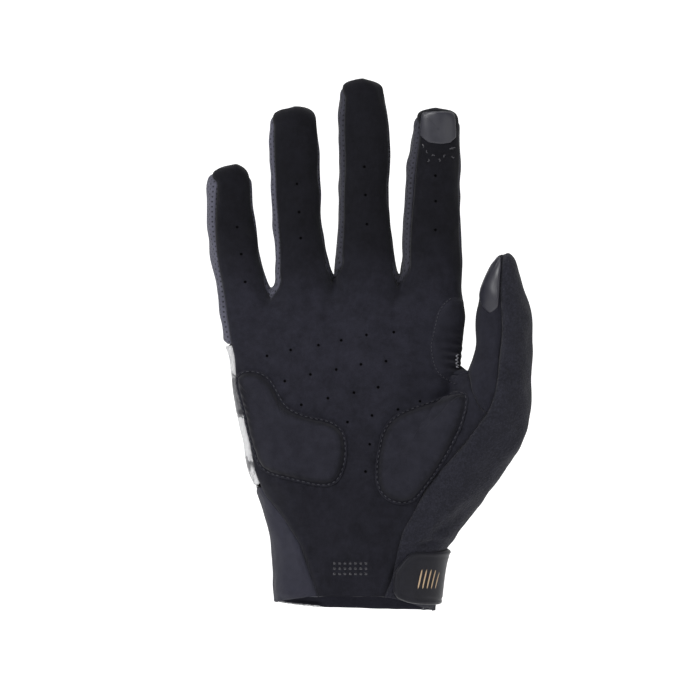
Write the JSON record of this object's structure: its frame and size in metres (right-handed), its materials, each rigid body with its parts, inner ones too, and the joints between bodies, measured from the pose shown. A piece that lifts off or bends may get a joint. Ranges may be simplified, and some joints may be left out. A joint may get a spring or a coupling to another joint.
{
  "type": "cycling glove",
  "caption": "Full-finger cycling glove for the right hand, a sewn shell with padded palm, mesh strips between the fingers, terry thumb, touch fingertips and a wrist strap.",
  "frame": {"origin": "centre of the wrist opening, where the glove is held", "axes": "+Z along the fingers, -Y out of the palm, +X towards the thumb"},
  "size_m": [0.1311, 0.0521, 0.2129],
  "materials": {
    "suede": "brushed microfibre suede, blue-black",
    "printed_knit": "printed stretch knit, white, grey and black blotches",
    "side_mesh": "grey-blue perforated mesh",
    "terry": "brushed terry cloth, near black",
    "stretch_knit": "fine stretch knit, dark grey",
    "strap": "smooth laminated closure tab, near black",
    "touch_patch": "smooth grey conductive patch, slight gloss"
  },
  "bodies": {
    "root": {"palm_panel": "suede", "back_panel": "printed_knit", "little_finger_side": "side_mesh", "fourchette_little_ring": "side_mesh", "fourchette_ring_middle": "side_mesh", "fourchette_middle_index": "side_mesh", "index_side_panel": "side_mesh", "thumb_inner_panel": "suede", "thumb_outer_panel": "terry", "wrist_side_panel": "stretch_knit", "wrist_strap": "strap", "heel_pad_outer": "suede", "heel_pad_thumb": "suede", "thumb_crotch_patch": "suede", "index_tip_patch": "touch_patch", "thumb_tip_patch": "touch_patch"}
  },
  "joints": []
}
